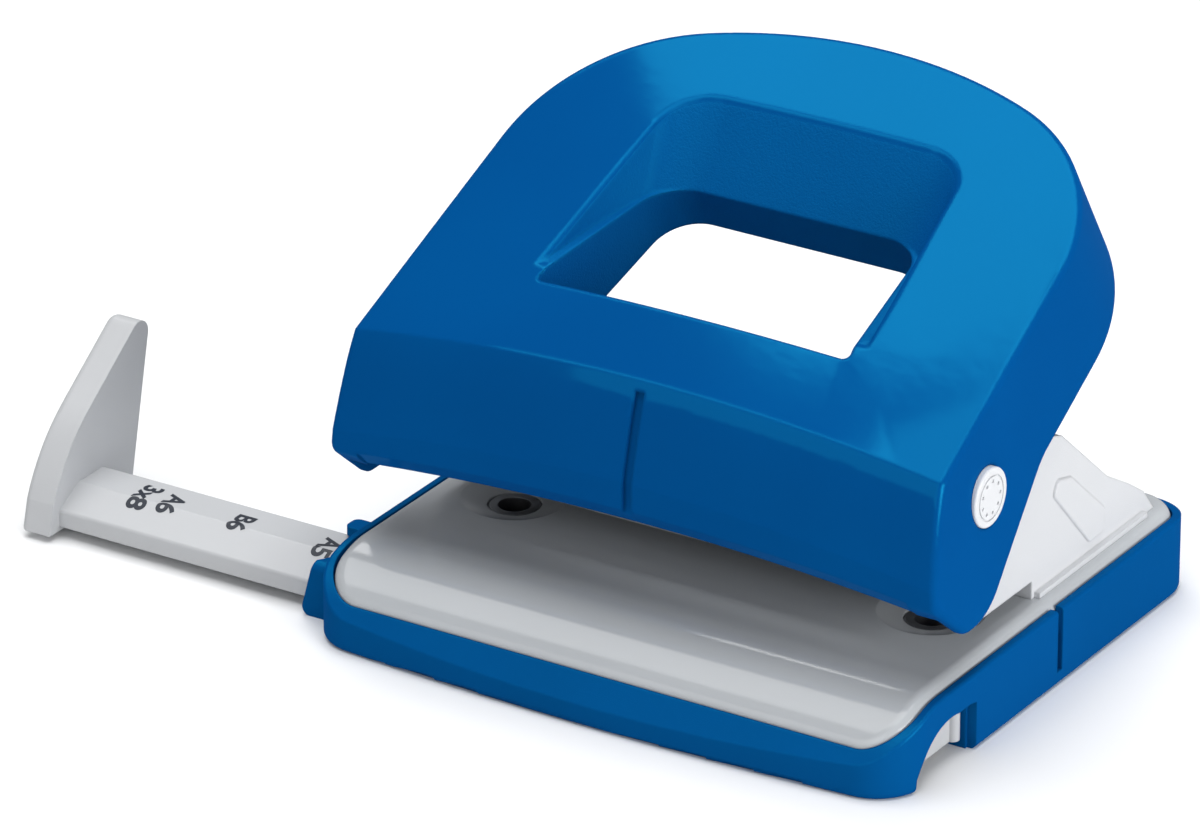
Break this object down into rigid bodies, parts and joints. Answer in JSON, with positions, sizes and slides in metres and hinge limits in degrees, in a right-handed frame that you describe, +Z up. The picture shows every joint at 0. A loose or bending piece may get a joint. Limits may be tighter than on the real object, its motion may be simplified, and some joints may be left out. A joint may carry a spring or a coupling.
{
  "type": "hole punch",
  "caption": "Desk punch with a sprung D-shaped handle with a grip window, round cutting pins over a slotted base, a chip tray and a sliding paper guide.",
  "frame": {"origin": "on the table plane, midway between the two punch pins", "axes": "+X along the width towards the end away from the guide's stop, -Y towards the paper side, +Z up"},
  "size_m": [0.1769, 0.1011, 0.0868],
  "materials": {
    "tray_blue": "satin moulded plastic",
    "handle_blue": "polished moulded plastic",
    "plate_grey": "satin moulded plastic",
    "frame_grey": "fine satin moulded plastic",
    "guide_grey": "satin moulded plastic with a printed scale",
    "cap_grey": "satin moulded plastic",
    "steel": "plain zinc-plated steel",
    "tool_steel": "ground hardened steel",
    "spring_steel": "drawn spring wire",
    "rubber": "matt rubber"
  },
  "bodies": {
    "tray": {"chip_tray": "tray_blue", "anti_slip_feet": "rubber"},
    "guide": {"paper_guide": "guide_grey"},
    "base": {"base_plate": "plate_grey", "punch_frame": "frame_grey", "frame_screws": "steel", "axle": "steel", "axle_cap_left": "cap_grey", "axle_cap_right": "cap_grey", "die_left": "tool_steel", "die_right": "tool_steel", "pin_guide_left": "steel", "pin_guide_right": "steel", "return_spring_left": "spring_steel", "return_spring_right": "spring_steel"},
    "handle": {"handle_shell": "handle_blue", "press_lever_left": "steel", "press_lever_right": "steel"},
    "pin_left": {"punch_pin_left": "tool_steel", "pin_clip_left": "spring_steel"},
    "pin_right": {"punch_pin_right": "tool_steel", "pin_clip_right": "spring_steel"}
  },
  "joints": [
    {"name": "base_lift", "type": "slide", "parent": "tray", "child": "base", "axis": [0, 0, 1], "range_m": [0, 0.02]},
    {"name": "guide_slide", "type": "slide", "parent": "tray", "child": "guide", "axis": [1, 0, 0], "range_m": [-0.0355, 0.045]},
    {"name": "handle_press", "type": "hinge", "parent": "base", "child": "handle", "pos_m": [0, -0.0108, 0.0436], "axis": [-1, 0, 0], "range_deg": [0, 28], "stiffness_Nm_per_rad": 0.66, "springref_deg": -18.91},
    {"name": "pin_left_stroke", "type": "slide", "parent": "base", "child": "pin_left", "axis": [0, 0, -1], "range_m": [0, 0.0053], "deforming": ["return_spring_left"]},
    {"name": "pin_right_stroke", "type": "slide", "parent": "base", "child": "pin_right", "axis": [0, 0, -1], "range_m": [0, 0.0053], "deforming": ["return_spring_right"]}
  ],
  "couplings": [
    {"joint": "pin_left_stroke", "follows": "handle_press", "m_per_rad": 0.0108},
    {"joint": "pin_right_stroke", "follows": "handle_press", "m_per_rad": 0.0108}
  ]
}
